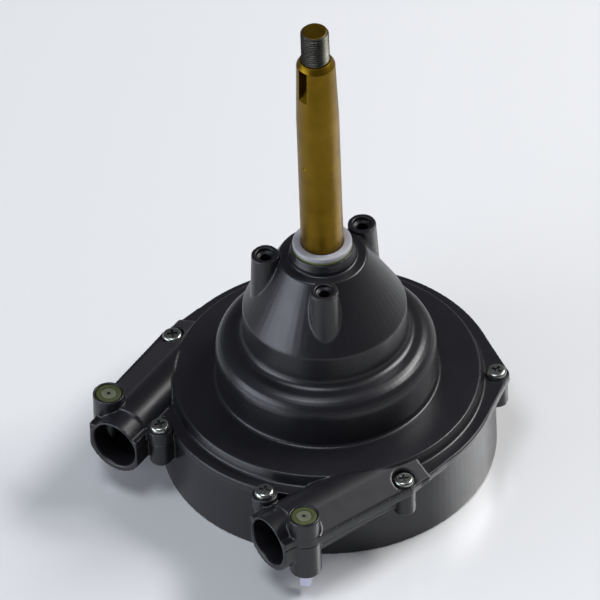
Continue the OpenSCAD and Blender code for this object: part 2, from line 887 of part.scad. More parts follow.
module shaft_bush() {
    bush_edge = 0.6;
    color("#d6d3e2")
    rotate_extrude()
        polygon([
            [shaft_r + running, seal_top_z],
            [bush_r - bush_edge / 2, seal_top_z],
            [bush_r, seal_top_z + bush_edge / 2],
            [bush_r, bush_top_z - bush_edge],
            [bush_r - bush_edge, bush_top_z],
            [shaft_r + running + bush_edge, bush_top_z],
            [shaft_r + running, bush_top_z - bush_edge],
        ]);
}

module shaft_seal() {
    color("#4c521f")
    rotate_extrude()
        polygon([
            [shaft_r + running, seal_pocket_z],
            [seal_r, seal_pocket_z],
            [seal_r, collar_nose_z],
            [seal_lip_r, collar_nose_z],
            [seal_lip_r, seal_top_z],
            [shaft_r + running, seal_top_z],
        ]);
}

// A bearing ring with the round track of the balls
module race(bore, outer) {
    difference() {
        ring(bearing_z, bearing_w, bore, outer);
        rotate_extrude()
            translate([ball_place, bearing_z + bearing_w / 2])
                circle(r = ball_r + ball_play);
    }
}

module bearing_outer_ring() {
    color("#b9bcc0")
    race(outer_race_r, bearing_r);
}

module bearing_inner_ring() {
    color("#b9bcc0")
    race(shaft_r, inner_race_r);
}

module at_balls() {
    for (i = [0 : balls - 1]) {
        rotate(full_turn * i / balls)
            translate([ball_place, 0, bearing_z + bearing_w / 2])
                children();
    }
}

module bearing_balls() {
    color("#d5d7da")
    at_balls()
        sphere(r = ball_r, $fn = 32);
}

module bearing_cage() {
    color("#b08d4a")
    difference() {
        ring(bearing_z + bearing_w / 2 - cage_h / 2, cage_h, ball_place - cage_t / 2, ball_place + cage_t / 2);
        at_balls()
            sphere(r = ball_r + running, $fn = 32);
    }
}

module circlip(z) {
    difference() {
        ring(z, circlip_t, shaft_r - circlip_groove, circlip_r);
        rotate(-circlip_opening / 2)
            translate([0, 0, z - cut])
                rotate_extrude(angle = circlip_opening)
                    square([circlip_r + cut, circlip_t + 2 * cut]);
    }
}

module bearing_circlips() {
    color("#3a3c40")
    for (z = [bearing_z - circlip_t, bearing_top_z]) {
        circlip(z);
    }
}

module friction_disc() {
    color("#7a4a30")
    ring(friction_z, lining_t, shaft_r, lining_r);
}

module pressure_plate() {
    color("#8d9094")
    difference() {
        ring(plate_z, plate_t, plate_bore_r, plate_r);
        for (i = [0 : ribs - 1]) {
            rotate(full_turn * i / ribs)
                translate([step_bore_r, 0, plate_z - cut])
                    cylinder(h = plate_t + 2 * cut, r = rib_r + gap);
        }
    }
}

module disc_spring() {
    color("#5a5d61")
    rotate_extrude()
        polygon([
            [spring_bore_r, plate_top_z],
            [spring_bore_r + spring_t, plate_top_z],
            [spring_r, ledge_z - spring_t],
            [spring_r, ledge_z],
            [spring_r - spring_t, ledge_z],
            [spring_bore_r, plate_top_z + spring_t],
        ]);
}

module sun_gear() {
    root_r = sun_pitch_r - gear_module * dedendum_share;
    color("#9a9da1")
    difference() {
        translate([0, 0, sun_z])
            linear_extrude(shaft_foot_z - sun_z)
                polygon(gear_outline(sun_teeth, backlash, root_r, sun_tip_r, 0));
        translate([0, 0, sun_z - cut])
            cylinder(h = shaft_foot_z - sun_z + 2 * cut, r = spigot_r);
    }
}

module planet_gear(i) {
    root_r = planet_pitch_r - gear_module * dedendum_share;
    color("#c9c3a5")
    translate(concat(polar(planet_place, planet_angle(i)), [planet_z]))
        difference() {
            linear_extrude(gear_w)
                polygon(gear_outline(planet_teeth, backlash, root_r, planet_tip_r, full_turn / planet_teeth / 2));
            translate([0, 0, -cut])
                cylinder(h = gear_w + 2 * cut, r = pin_r + running);
        }
}

module at_planets() {
    for (i = [0 : planets - 1]) {
        translate(polar(planet_place, planet_angle(i)))
            children();
    }
}

module planet_pins() {
    color("#b4b7ba")
    at_planets()
        translate([0, 0, deck_foot_z])
            cylinder(h = carrier_top_z - deck_foot_z, r = pin_r);
}

module planet_washers() {
    color("#a6843c")
    at_planets()
        ring(deck_top_z, washer_t, pin_r, pin_r + washer_w);
}

module carrier_plate() {
    color("#8d9094")
    difference() {
        ring(carrier_z, carrier_t, sun_tip_r + carrier_play, carrier_r);
        at_planets()
            translate([0, 0, carrier_z - cut])
                cylinder(h = carrier_t + 2 * cut, r = pin_r);
    }
}

module ring_gear() {
    space_r = ring_pitch_r + gear_module * dedendum_share;
    tip_r = ring_pitch_r - gear_module;
    color("#c9c3a5")
    difference() {
        translate([0, 0, ring_z])
            cylinder(h = ring_seat_z - ring_z, r = bell_bore_r);
        translate([0, 0, ring_z - cut])
            linear_extrude(ring_seat_z - ring_z + 2 * cut)
                polygon(gear_outline(ring_teeth, -backlash, tip_r, space_r, full_turn / ring_teeth / 2));
    }
}

// Outline of the toothed groove that the wound cable lies in
function groove_outline() =
    [for (i = [0 : drum_teeth - 1], side = [0 : 3])
        polar(side == 1 || side == 2 ? groove_r : groove_r - groove_depth, full_turn * (i + side / 4) / drum_teeth)];

// Section of the drum's hub, deck and web, as radius and height
function drum_section() = [
    [drum_bush_r, drum_foot_z],
    [drum_hub_r, drum_foot_z],
    [drum_hub_r, deck_foot_z],
    [deck_r - deck_wall, deck_foot_z],
    [deck_r - deck_wall, web_z],
    [rim_bore_r, web_z],
    [rim_bore_r, web_z + web_t],
    [deck_r, web_z + web_t],
    [deck_r, deck_top_z],
    [drum_shaft_hole_r, deck_top_z],
    [drum_shaft_hole_r, drum_hub_roof_z],
    [drum_bush_r, drum_hub_roof_z],
];

module cable_drum() {
    color("#c9c3a5")
    difference() {
        union() {
            rotate_extrude()
                polygon(drum_section());
            for (z = [groove_z - rim_flange_t, groove_top_z]) {
                ring(z, rim_flange_t, rim_bore_r, rim_r);
            }
            difference() {
                translate([0, 0, groove_z])
                    linear_extrude(groove_top_z - groove_z)
                        polygon(groove_outline());
                translate([0, 0, groove_z - cut])
                    cylinder(h = groove_top_z - groove_z + 2 * cut, r = rim_bore_r);
            }
        }
        at_planets()
            translate([0, 0, deck_foot_z - cut])
                cylinder(h = deck_t + 2 * cut, r = pin_r);
    }
}

module drum_bush() {
    color("#a6843c")
    ring(drum_foot_z, boss_top_z - drum_foot_z, centre_boss_r + running, drum_bush_r);
}

module drum_thrust_washer() {
    color("#d9d9d2")
    ring(floor_t, thrust_t, centre_boss_r + gap, drum_hub_r);
}

module lower_bearing() {
    color("#a6843c")
    ring(lower_bearing_z, lower_bearing_l, spigot_r + running, lower_bearing_r);
}

module cable_guide() {
    color("#e2dfd2")
    rotate(-toe)
        translate([0, 0, floor_t])
            rotate_extrude(angle = guide_angle)
                translate([guide_r, 0])
                    square([guide_t, guide_top_z - floor_t]);
}

// A pan head with a cross recess on a plain shank
module cover_screws() {
    recess_w = screw_head_r * recess_w_share;
    recess_l = screw_head_r * recess_l_share;
    recess_t = screw_head_h * recess_t_share;
    rim_h = screw_head_h * rim_share;
    color("#c8cacc")
    at_screws()
        translate([0, 0, flange_top_z + $lift])
            difference() {
                union() {
                    cylinder(h = rim_h, r = screw_head_r);
                    translate([0, 0, rim_h])
                        cylinder(h = screw_head_h - rim_h, r1 = screw_head_r, r2 = screw_head_r * crown_share);
                    translate([0, 0, -screw_l])
                        cylinder(h = screw_l, r = screw_r);
                }
                for (turn = [0, 90]) {
                    rotate(turn)
                        translate([-recess_l / 2, -recess_w / 2, screw_head_h - recess_t])
                            cube([recess_l, recess_w, screw_head_h]);
                }
            }
}

module lock_bolts() {
    color("#6f7440")
    at_locks()
        difference() {
            union() {
                translate([0, 0, lock_head_z - lock_head_t])
                    cylinder(h = lock_head_t, r = lock_head_r);
                translate([0, 0, lock_bolt_z])
                    cylinder(h = lock_head_z - lock_socket_t * 2 - lock_bolt_z, r = lock_bolt_r);
            }
            translate([0, 0, lock_head_z - lock_socket_t])
                cylinder(h = lock_socket_t + cut, r = lock_socket_r);
        }
}

// Barrel nuts that take the lock bolts from below, with a square end to hold them by
module lock_nuts() {
    color("#cfd0ea")
    at_locks()
        difference() {
            union() {
                translate([0, 0, lock_boss_foot_z])
                    cylinder(h = lock_barrel_l, r = lock_barrel_r);
                rotate(lock_square_turn)
                    translate([-lock_square_w / 2, -lock_square_w / 2, lock_boss_foot_z - lock_square_l])
                        cube([lock_square_w, lock_square_w, lock_square_l + lock_nut_floor]);
            }
            translate([0, 0, lock_bolt_z])
                cylinder(h = lock_barrel_l, r = lock_bolt_r);
        }
}

rear_housing();
front_cover();
steering_shaft();
shaft_bush();
shaft_seal();
bearing_outer_ring();
bearing_inner_ring();
bearing_balls();
bearing_cage();
bearing_circlips();
friction_disc();
pressure_plate();
disc_spring();
sun_gear();
planet_gear(0);  // planet_gear_1
planet_gear(1);  // planet_gear_2
planet_gear(2);  // planet_gear_3
planet_pins();
planet_washers();
carrier_plate();
ring_gear();
cable_drum();
drum_bush();
drum_thrust_washer();
lower_bearing();
cable_guide();
cover_screws();
lock_bolts();
lock_nuts();
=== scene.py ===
import json
import math

import bmesh
import bpy
from mathutils import Matrix, Vector

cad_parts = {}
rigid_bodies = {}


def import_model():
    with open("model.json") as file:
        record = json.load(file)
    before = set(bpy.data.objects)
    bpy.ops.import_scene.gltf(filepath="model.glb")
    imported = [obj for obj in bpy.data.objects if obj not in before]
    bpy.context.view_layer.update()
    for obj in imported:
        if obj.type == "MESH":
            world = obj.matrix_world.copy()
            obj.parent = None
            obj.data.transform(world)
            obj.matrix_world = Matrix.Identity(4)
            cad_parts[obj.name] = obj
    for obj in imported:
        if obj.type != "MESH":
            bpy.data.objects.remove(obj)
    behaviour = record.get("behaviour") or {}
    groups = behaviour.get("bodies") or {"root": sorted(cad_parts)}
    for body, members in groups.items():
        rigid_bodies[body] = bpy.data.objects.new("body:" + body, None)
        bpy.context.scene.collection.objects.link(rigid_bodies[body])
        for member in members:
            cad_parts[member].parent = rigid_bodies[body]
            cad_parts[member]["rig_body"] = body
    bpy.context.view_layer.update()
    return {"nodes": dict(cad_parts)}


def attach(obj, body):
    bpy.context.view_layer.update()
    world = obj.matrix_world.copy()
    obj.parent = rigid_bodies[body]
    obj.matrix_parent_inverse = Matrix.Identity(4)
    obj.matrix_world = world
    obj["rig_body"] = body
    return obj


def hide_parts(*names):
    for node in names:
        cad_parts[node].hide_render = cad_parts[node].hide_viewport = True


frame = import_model()

MM = 0.001
SIDES = (1, -1)

# Heights of the helm over its back face, in mm
HUB_TOP = 112.0
COLLAR_TOP = 117.6
SEAL_TOP = 118.5
BUSH_TOP = 120.8
STRAIGHT_TOP = 196.0
TAPER_TOP = 226.0
NOSE_TOP = 228.7
SHAFT_TOP = 245.0
SHAFT_R = 9.525
TAPER_R = 8.65
THREAD_R = 6.35


# Materials
# A noise keeps near its middle value, so these parts of it are spread over the tones and the roughness
TONE_LOW = 0.35
TONE_HIGH = 0.65
ROUGHNESS_LOW = 0.3
ROUGHNESS_HIGH = 0.7
# How much a noise is squeezed along x, y and z
EVEN = (1.0, 1.0, 1.0)
RINGS = (1.0, 1.0, 60.0)


def nodes_of(material):
    return material.node_tree.nodes, material.node_tree.links


def new_material(name, metallic=0.0):
    """A Principled material. Values that are the same all over stay on its own sockets."""
    material = bpy.data.materials.new(name)
    material.use_nodes = True
    shader = material.node_tree.nodes["Principled BSDF"]
    shader.inputs["Metallic"].default_value = metallic
    shader.inputs["Specular IOR Level"].default_value = 0.5
    return material


def noise(material, scale, detail=4.0, stretch=EVEN):
    """A noise over the object's own metres, so its grain has a real size."""
    nodes, links = nodes_of(material)
    place = nodes.new("ShaderNodeTexCoord")
    mapping = nodes.new("ShaderNodeMapping")
    mapping.inputs["Scale"].default_value = stretch
    texture = nodes.new("ShaderNodeTexNoise")
    texture.inputs["Scale"].default_value = scale
    texture.inputs["Detail"].default_value = detail
    texture.inputs["Roughness"].default_value = 0.5
    links.new(place.outputs["Object"], mapping.inputs["Vector"])
    links.new(mapping.outputs["Vector"], texture.inputs["Vector"])
    return texture


def colour_between(material, texture, dark, light):
    """The base colour runs between two tones with the texture."""
    nodes, links = nodes_of(material)
    ramp = nodes.new("ShaderNodeValToRGB")
    ramp.color_ramp.elements[0].position = TONE_LOW
    ramp.color_ramp.elements[0].color = (*dark, 1.0)
    ramp.color_ramp.elements[1].position = TONE_HIGH
    ramp.color_ramp.elements[1].color = (*light, 1.0)
    links.new(texture.outputs["Fac"], ramp.inputs["Fac"])
    links.new(ramp.outputs["Color"], nodes["Principled BSDF"].inputs["Base Color"])


def roughness_between(material, texture, low, high):
    nodes, links = nodes_of(material)
    spread = nodes.new("ShaderNodeMapRange")
    spread.inputs["From Min"].default_value = ROUGHNESS_LOW
    spread.inputs["From Max"].default_value = ROUGHNESS_HIGH
    spread.inputs["To Min"].default_value = low
    spread.inputs["To Max"].default_value = high
    links.new(texture.outputs["Fac"], spread.inputs["Value"])
    links.new(spread.outputs["Result"], nodes["Principled BSDF"].inputs["Roughness"])


def bump(material, texture, strength, depth_mm):
    nodes, links = nodes_of(material)
    relief = nodes.new("ShaderNodeBump")
    relief.inputs["Strength"].default_value = strength
    relief.inputs["Distance"].default_value = depth_mm * MM
    links.new(texture.outputs["Fac"], relief.inputs["Height"])
    links.new(relief.outputs["Normal"], nodes["Principled BSDF"].inputs["Normal"])


def painted_casting():
    """Black paint on cast aluminium: satin, with a faint orange-peel skin."""
    material = new_material("black_casting")
    colour_between(material, noise(material, 60), (0.0085, 0.0082, 0.0106), (0.0108, 0.0104, 0.0134))
    roughness_between(material, noise(material, 160), 0.32, 0.35)
    bump(material, noise(material, 900, detail=2.0), 0.05, 0.03)
    return material


def turned_metal(name, dark, light, low, high, metallic=1.0, grain=RINGS):
    """Metal from the lathe: fine rings round its axis."""
    material = new_material(name, metallic=metallic)
    colour_between(material, noise(material, 90), dark, light)
    roughness_between(material, noise(material, 40, stretch=grain), low, high)
    bump(material, noise(material, 60, detail=6.0, stretch=grain), 0.10, 0.02)
    return material


def moulded(name, dark, light, low, high):
    """Moulded plastic or rubber."""
    material = new_material(name)
    colour_between(material, noise(material, 120), dark, light)
    roughness_between(material, noise(material, 260), low, high)
    bump(material, noise(material, 1400, detail=2.0), 0.10, 0.03)
    return material


CASTING = painted_casting()
SHAFT_GOLD = turned_metal("gold_shaft", (0.150, 0.088, 0.006), (0.192, 0.115, 0.009), 0.36, 0.46)
THREAD_GREY = turned_metal("thread_steel", (0.060, 0.058, 0.048), (0.105, 0.102, 0.088), 0.35, 0.48)
ZINC = turned_metal("zinc_plate", (0.30, 0.31, 0.29), (0.42, 0.43, 0.40), 0.22, 0.34, grain=EVEN)
PALE_ZINC = turned_metal(
    "pale_nut", (0.62, 0.62, 0.78), (0.72, 0.72, 0.88), 0.35, 0.45, metallic=0.3, grain=EVEN,
)
OLIVE = moulded("olive_passivate", (0.048, 0.058, 0.018), (0.070, 0.082, 0.027), 0.35, 0.45)
OLIVE_LIGHT = moulded("olive_centre", (0.105, 0.115, 0.075), (0.175, 0.185, 0.130), 0.30, 0.45)
BUSH_WHITE = moulded("bush_white", (0.34, 0.34, 0.37), (0.40, 0.40, 0.43), 0.32, 0.42)
SEAL_OLIVE = moulded("seal_rubber", (0.085, 0.105, 0.022), (0.115, 0.140, 0.032), 0.45, 0.6)
STEEL = turned_metal("bearing_steel", (0.50, 0.51, 0.53), (0.60, 0.61, 0.62), 0.18, 0.28)
# Dark steel for the real steel parts; also used as painted shade in the screws' cross recesses and the
# lock bolts' centre pits
DARK_STEEL_AND_SHADE = turned_metal("dark_steel_and_painted_shade", (0.10, 0.10, 0.11), (0.16, 0.16, 0.17), 0.35, 0.5)
BRASS = turned_metal("sintered_bronze", (0.36, 0.24, 0.09), (0.45, 0.31, 0.13), 0.3, 0.45)
LINING = moulded("friction_lining", (0.12, 0.055, 0.03), (0.19, 0.09, 0.05), 0.7, 0.85)
NYLON = moulded("nylon", (0.50, 0.47, 0.36), (0.60, 0.57, 0.45), 0.4, 0.5)
PALE_NYLON = moulded("pale_nylon", (0.66, 0.64, 0.57), (0.76, 0.74, 0.67), 0.4, 0.5)

FINISH = {
    "bearing_outer_ring": STEEL,
    "bearing_inner_ring": STEEL,
    "bearing_balls": STEEL,
    "bearing_cage": BRASS,
    "bearing_circlips": DARK_STEEL_AND_SHADE,
    "friction_disc": LINING,
    "pressure_plate": STEEL,
    "disc_spring": DARK_STEEL_AND_SHADE,
    "sun_gear": STEEL,
    "planet_gear_1": NYLON,
    "planet_gear_2": NYLON,
    "planet_gear_3": NYLON,
    "planet_pins": STEEL,
    "planet_washers": BRASS,
    "carrier_plate": STEEL,
    "ring_gear": NYLON,
    "cable_drum": NYLON,
    "drum_bush": BRASS,
    "drum_thrust_washer": PALE_NYLON,
    "lower_bearing": BRASS,
    "cable_guide": PALE_NYLON,
    "shaft_bush": BUSH_WHITE,
    "shaft_seal": SEAL_OLIVE,
    "steering_shaft": SHAFT_GOLD,
    "rear_housing": CASTING,
    "front_cover": CASTING,
    "cover_screws": ZINC,
    "lock_bolts": OLIVE,
    "lock_nuts": PALE_ZINC,
}

for node, material in FINISH.items():
    cad = frame["nodes"][node]
    if not cad.data.materials:
        cad.data.materials.append(material)
    for slot in cad.material_slots:
        slot.material = material


# Pieces that stand for CAD nodes

def add_piece(name, mesh, node, *materials):
    """A piece that stands for a CAD node and moves with its body."""
    piece = bpy.data.objects.new(name, mesh)
    bpy.context.scene.collection.objects.link(piece)
    mesh.materials.clear()
    for material in materials:
        mesh.materials.append(material)
    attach(piece, frame["nodes"][node]["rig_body"])
    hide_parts(node)
    return piece


def applied(piece):
    """Works the piece's modifiers into its mesh."""
    depsgraph = bpy.context.evaluated_depsgraph_get()
    mesh = bpy.data.meshes.new_from_object(piece.evaluated_get(depsgraph))
    piece.modifiers.clear()
    piece.data = mesh
    return mesh


def smooth_faces(mesh, angle=35.0):
    for polygon in mesh.polygons:
        polygon.use_smooth = True
    mesh.set_sharp_from_angle(angle=math.radians(angle))


# Fineness of the castings' meshes in mm, and how often they are smoothed
VOXEL = 0.4
SMOOTH_ROUNDS = 6
# Points nearer than this, in mm, are made one
CAD_WELD = 0.002
TURNED_WELD = 0.0005


def cast(node, name):
    """The casting's solid with every edge rounded, as casting and paint leave it."""
    mesh = frame["nodes"][node].data.copy()
    shape = bmesh.new()
    shape.from_mesh(mesh)
    bmesh.ops.remove_doubles(shape, verts=shape.verts, dist=CAD_WELD * MM)
    shape.to_mesh(mesh)
    shape.free()
    piece = add_piece(name, mesh, node, CASTING)
    remesh = piece.modifiers.new("remesh", "REMESH")
    remesh.mode = "VOXEL"
    remesh.voxel_size = VOXEL * MM
    smooth = piece.modifiers.new("smooth", "SMOOTH")
    smooth.factor = 0.5
    smooth.iterations = SMOOTH_ROUNDS
    smooth_faces(applied(piece), 180.0)


def turned(points, steps=96, radius=None):
    """A body of revolution from (r, z) in mm. radius, if given, changes r with the angle."""
    shape = bmesh.new()
    rings = []
    for step in range(steps):
        angle = 2.0 * math.pi * step / steps
        ring = []
        for r, z in points:
            if radius and r > 0.0:
                r = radius(angle, r, z)
            ring.append(shape.verts.new((r * math.cos(angle) * MM, r * math.sin(angle) * MM, z * MM)))
        rings.append(ring)
    for step in range(steps):
        here, there = rings[step], rings[(step + 1) % steps]
        for i in range(len(points) - 1):
            shape.faces.new((here[i], there[i], there[i + 1], here[i + 1]))
    bmesh.ops.remove_doubles(shape, verts=shape.verts, dist=TURNED_WELD * MM)
    bmesh.ops.recalc_face_normals(shape, faces=shape.faces)
    return shape


def as_mesh(shape, name, angle=35.0):
    mesh = bpy.data.meshes.new(name)
    shape.to_mesh(mesh)
    shape.free()
    smooth_faces(mesh, angle)
    return mesh


def rounded(r_in, z_in, r_out, z_out, bulge, count=4):
    """The points of a quarter round. It bulges to (r_out, z_in) with bulge 1, to (r_in, z_out) with -1."""
    corner = (r_out, z_in) if bulge > 0 else (r_in, z_out)
    centre = (r_in + r_out - corner[0], z_in + z_out - corner[1])
    points = []
    for i in range(count + 1):
        t = math.pi / 2.0 * i / count
        points.append((
            centre[0] + (r_in - centre[0]) * math.cos(t) + (r_out - centre[0]) * math.sin(t),
            centre[1] + (z_in - centre[1]) * math.cos(t) + (z_out - centre[1]) * math.sin(t),
        ))
    return points


def cut_away(piece, cutter_shape):
    """Cuts one closed shape out of the piece."""
    cutter = bpy.data.objects.new("cutter", as_mesh(cutter_shape, "cutter"))
    bpy.context.scene.collection.objects.link(cutter)
    boolean = piece.modifiers.new("cut", "BOOLEAN")
    boolean.operation = "DIFFERENCE"
    boolean.solver = "EXACT"
    boolean.object = cutter
    applied(piece)
    bpy.data.objects.remove(cutter)


def box_shape(size, place, turn=0.0):
    shape = bmesh.new()
    bmesh.ops.create_cube(shape, size=1.0)
    scale = Matrix.Diagonal((size[0] * MM, size[1] * MM, size[2] * MM, 1.0))
    move = Matrix.Translation(Vector(place) * MM)
    shape.transform(move @ Matrix.Rotation(turn, 4, "Z") @ scale)
    return shape


def copies(mesh, places, name):
    """One mesh of the same form at several places."""
    shape = bmesh.new()
    for place, turn in places:
        copy = mesh.copy()
        copy.transform(Matrix.Translation(Vector(place) * MM) @ Matrix.Rotation(turn, 4, "Z"))
        shape.from_mesh(copy)
        bpy.data.meshes.remove(copy)
    made = bpy.data.meshes.new(name)
    shape.to_mesh(made)
    shape.free()
    return made


cast("front_cover", "cover_casting")
cast("rear_housing", "housing_casting")


# Steering shaft: ground bar, taper with a round-bottomed key slot, locating dimple and threaded end
SHAFT_FOOT = 14.0
SPIGOT_R = 4.0
SPIGOT_TOP = 58.0
BAR_FOOT_R = 9.0
SHOULDER_R = 12.5
SHOULDER_FOOT = 66.0
SHOULDER_TOP = 70.0
GROOVE_R = 9.025
LOWER_GROOVE = (95.8, 97.0)
UPPER_GROOVE = (107.0, 108.2)
BAR_MIDDLE = 150.0
NOSE_R = 7.1
KEY_W = 4.76
KEY_DEPTH = 5.4
KEY_CUTTER_R = 9.5
KEY_SHARE = 0.72
KEY_Z = STRAIGHT_TOP + (TAPER_TOP - STRAIGHT_TOP) * KEY_SHARE
KEY_FROM_AXIS = TAPER_R + KEY_CUTTER_R - KEY_DEPTH
DIMPLE_R = 1.25
DIMPLE_SHARE = 0.685
DIMPLE_Z = HUB_TOP + (STRAIGHT_TOP - HUB_TOP) * DIMPLE_SHARE

bar = turned([
    (0.0, SHAFT_FOOT), (SPIGOT_R - 0.5, SHAFT_FOOT), (SPIGOT_R, SHAFT_FOOT + 0.5), (SPIGOT_R, SPIGOT_TOP),
    (BAR_FOOT_R, SPIGOT_TOP), (SHAFT_R, SPIGOT_TOP + 0.5), (SHAFT_R, SHOULDER_FOOT),
    (SHOULDER_R - 0.3, SHOULDER_FOOT), (SHOULDER_R, SHOULDER_FOOT + 0.3), (SHOULDER_R, SHOULDER_TOP),
    (SHAFT_R, SHOULDER_TOP),
    (SHAFT_R, LOWER_GROOVE[0]), (GROOVE_R, LOWER_GROOVE[0]),
    (GROOVE_R, LOWER_GROOVE[1]), (SHAFT_R, LOWER_GROOVE[1]),
    (SHAFT_R, UPPER_GROOVE[0]), (GROOVE_R, UPPER_GROOVE[0]),
    (GROOVE_R, UPPER_GROOVE[1]), (SHAFT_R, UPPER_GROOVE[1]),
    (SHAFT_R, BAR_MIDDLE), (SHAFT_R, STRAIGHT_TOP - 1.5),
    (SHAFT_R - 0.02, STRAIGHT_TOP), (SHAFT_R - 0.09, STRAIGHT_TOP + 2.0),
    (TAPER_R + 0.05, TAPER_TOP - 0.9), (TAPER_R - 0.05, TAPER_TOP - 0.2), (TAPER_R - 0.3, TAPER_TOP + 0.1),
    (NOSE_R, NOSE_TOP - 0.15), (NOSE_R - 0.2, NOSE_TOP), (NOSE_R - 1.6, NOSE_TOP), (0.0, NOSE_TOP),
], steps=160)
shaft = add_piece("shaft_bar", as_mesh(bar, "shaft_bar", 30.0), "steering_shaft", SHAFT_GOLD)
slot_cutter = turned([
    (0.0, -KEY_W / 2.0), (KEY_CUTTER_R, -KEY_W / 2.0), (KEY_CUTTER_R, KEY_W / 2.0), (0.0, KEY_W / 2.0),
])
slot_cutter.transform(
    Matrix.Translation(Vector((0.0, -KEY_FROM_AXIS, KEY_Z)) * MM) @ Matrix.Rotation(math.pi / 2.0, 4, "Y")
)
cut_away(shaft, slot_cutter)
dimple_cutter = turned([(0.0, -1.0), (DIMPLE_R, 0.2), (DIMPLE_R, 3.0), (0.0, 3.0)], steps=32)
dimple_cutter.transform(
    Matrix.Translation(Vector((0.0, -SHAFT_R, DIMPLE_Z)) * MM) @ Matrix.Rotation(math.pi / 2.0, 4, "X")
)
cut_away(shaft, dimple_cutter)
smooth_faces(shaft.data, 30.0)

THREAD_PITCH = 1.27
THREAD_DEPTH = 0.75
THREAD_RUN = SHAFT_TOP - NOSE_TOP
THREAD_STEPS = 200
# The thread starts a little below the nose's top, so that no gap shows
THREAD_SINK = 0.5


def thread_radius(angle, r, z):
    """The radius of the thread's crest or root, with a chamfer at the top."""
    turns = (z - NOSE_TOP) / THREAD_PITCH - angle / (2.0 * math.pi)
    share = abs((turns % 1.0) * 2.0 - 1.0)
    depth = THREAD_DEPTH * min(1.0, max(0.0, 1.25 * share - 0.1))
    crest = min(THREAD_R, THREAD_R + 0.9 - max(0.0, z - (SHAFT_TOP - 1.9)))
    return min(r, crest, THREAD_R - depth)


thread_points = [(0.0, NOSE_TOP - THREAD_SINK), (5.6, NOSE_TOP - THREAD_SINK)]
for i in range(THREAD_STEPS + 1):
    thread_points.append((THREAD_R, NOSE_TOP + THREAD_RUN * i / THREAD_STEPS))
thread_points += [(4.6, SHAFT_TOP), (0.0, SHAFT_TOP)]
thread_mesh = as_mesh(turned(thread_points, steps=96, radius=thread_radius), "shaft_thread", 50.0)
add_piece("shaft_thread", thread_mesh, "steering_shaft", THREAD_GREY, SHAFT_GOLD)
for polygon in thread_mesh.polygons:
    if polygon.center.z > (SHAFT_TOP - 0.01) * MM:
        polygon.material_index = 1


# Bush and seal round the shaft
BORE_R = 9.575
BUSH_R = 13.25
SEAL_R = 12.9
SEAL_LIP_R = 13.4
SEAL_FOOT = 109.0
add_piece("shaft_bush_ring", as_mesh(turned(
    [(BORE_R, SEAL_TOP + 0.5), (10.0, SEAL_TOP), (BUSH_R - 0.3, SEAL_TOP)]
    + rounded(BUSH_R - 0.3, SEAL_TOP, BUSH_R, SEAL_TOP + 0.3, 1)
    + rounded(BUSH_R, BUSH_TOP - 0.6, BUSH_R - 0.6, BUSH_TOP, -1)
    + [(10.3, BUSH_TOP), (9.8, BUSH_TOP - 0.2), (BORE_R, BUSH_TOP - 0.6), (BORE_R, SEAL_TOP + 0.5)]
), "shaft_bush_ring"), "shaft_bush", BUSH_WHITE)
add_piece("shaft_seal_ring", as_mesh(turned([
    (BORE_R, SEAL_FOOT), (SEAL_R, SEAL_FOOT), (SEAL_R, COLLAR_TOP), (SEAL_LIP_R - 0.15, COLLAR_TOP),
    (SEAL_LIP_R, COLLAR_TOP + 0.15), (SEAL_LIP_R, SEAL_TOP - 0.2), (SEAL_LIP_R - 0.2, SEAL_TOP),
    (BORE_R, SEAL_TOP), (BORE_R, SEAL_FOOT),
]), "shaft_seal_ring"), "shaft_seal", SEAL_OLIVE)


# Cover screws: pan heads with a cross recess
PORT_TURN = math.radians(-99.4)
FLANGE_TOP = 36.0
PORT_LUG_H = 2.7
PORT_SCREW_ALONG = 68.1
PORT_SCREW_OUT = 43.9
PORT_SCREW_TURN = 0.5
SCREW_PLACE = 75.6
# The angle of a flange screw round the helm, in degrees, and the turn of its recess
FLANGE_SCREWS = ((-19.8, 0.9), (45.0, 0.2))
SCREW_L = 14.0
SHANK_R = 1.9
HEAD_R = 4.5
HEAD_EDGE_H = 1.1
HEAD_FLAT_R = 3.0
HEAD_H = 2.6
RECESS_L = 4.9
RECESS_W = 1.15
RECESS_CUT_H = 3.0
RECESS_CUT_Z = 2.9


def port_place(along, out, z, side):
    """A place beside a port: along it, and away from the shaft."""
    x = along * math.cos(PORT_TURN) - out * math.sin(PORT_TURN)
    y = along * math.sin(PORT_TURN) + out * math.cos(PORT_TURN)
    return (side * x, y, z)


screw_places = []
for side in SIDES:
    on_lug = port_place(PORT_SCREW_ALONG, PORT_SCREW_OUT, FLANGE_TOP + PORT_LUG_H, side)
    screw_places.append((on_lug, PORT_SCREW_TURN * side))
    for degrees, turn in FLANGE_SCREWS:
        angle = math.radians(degrees)
        x = side * SCREW_PLACE * math.cos(angle)
        y = SCREW_PLACE * math.sin(angle)
        screw_places.append(((x, y, FLANGE_TOP), turn))

head_mesh = as_mesh(turned(
    [(0.0, -SCREW_L), (SHANK_R - 0.5, -SCREW_L), (SHANK_R, 0.6 - SCREW_L)]
    + [(SHANK_R, 0.0), (HEAD_R - 0.3, 0.0)]
    + rounded(HEAD_R - 0.3, 0.0, HEAD_R, 0.3, 1, 2)
    + [(HEAD_R, HEAD_EDGE_H)]
    + rounded(HEAD_R, HEAD_EDGE_H, HEAD_FLAT_R, HEAD_H, -1, 6)
    + [(0.0, HEAD_H)],
    steps=64,
), "screw")
screws = add_piece("cover_screw_set", head_mesh, "cover_screws", ZINC, DARK_STEEL_AND_SHADE)
for turn in (0.0, math.pi / 2.0):
    cut_away(screws, box_shape((RECESS_L, RECESS_W, RECESS_CUT_H), (0.0, 0.0, RECESS_CUT_Z), turn))
smooth_faces(screws.data)
